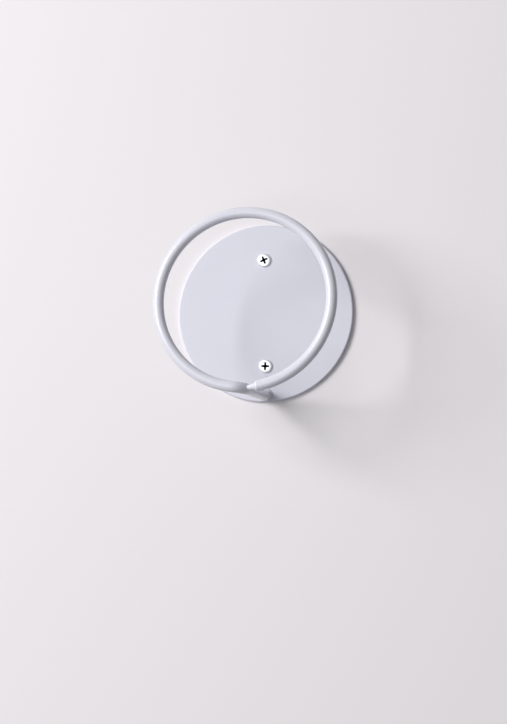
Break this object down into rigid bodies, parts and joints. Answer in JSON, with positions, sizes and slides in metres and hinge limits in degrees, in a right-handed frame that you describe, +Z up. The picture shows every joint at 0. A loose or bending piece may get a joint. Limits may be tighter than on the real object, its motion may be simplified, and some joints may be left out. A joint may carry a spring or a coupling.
{
  "type": "wall coat hook",
  "caption": "Round wall plate with a straight shank of round rod that bends into a ring standing in front of the plate, to hang coats and bag straps on.",
  "frame": {"origin": "centre of the plate's back face, on the wall", "axes": "+Z up, +Y into the wall, so the front faces -Y, and +X to the right as seen from the front"},
  "size_m": [0.1006, 0.0998, 0.1013],
  "materials": {
    "white_plate_paint": "satin white paint on steel sheet",
    "white_rod_paint": "gloss white paint on steel rod",
    "plated_screw_steel": "bright zinc plated steel"
  },
  "bodies": {
    "root": {"back_plate": "white_plate_paint", "hook_rod": "white_rod_paint", "mounting_screws": "plated_screw_steel"}
  },
  "joints": []
}
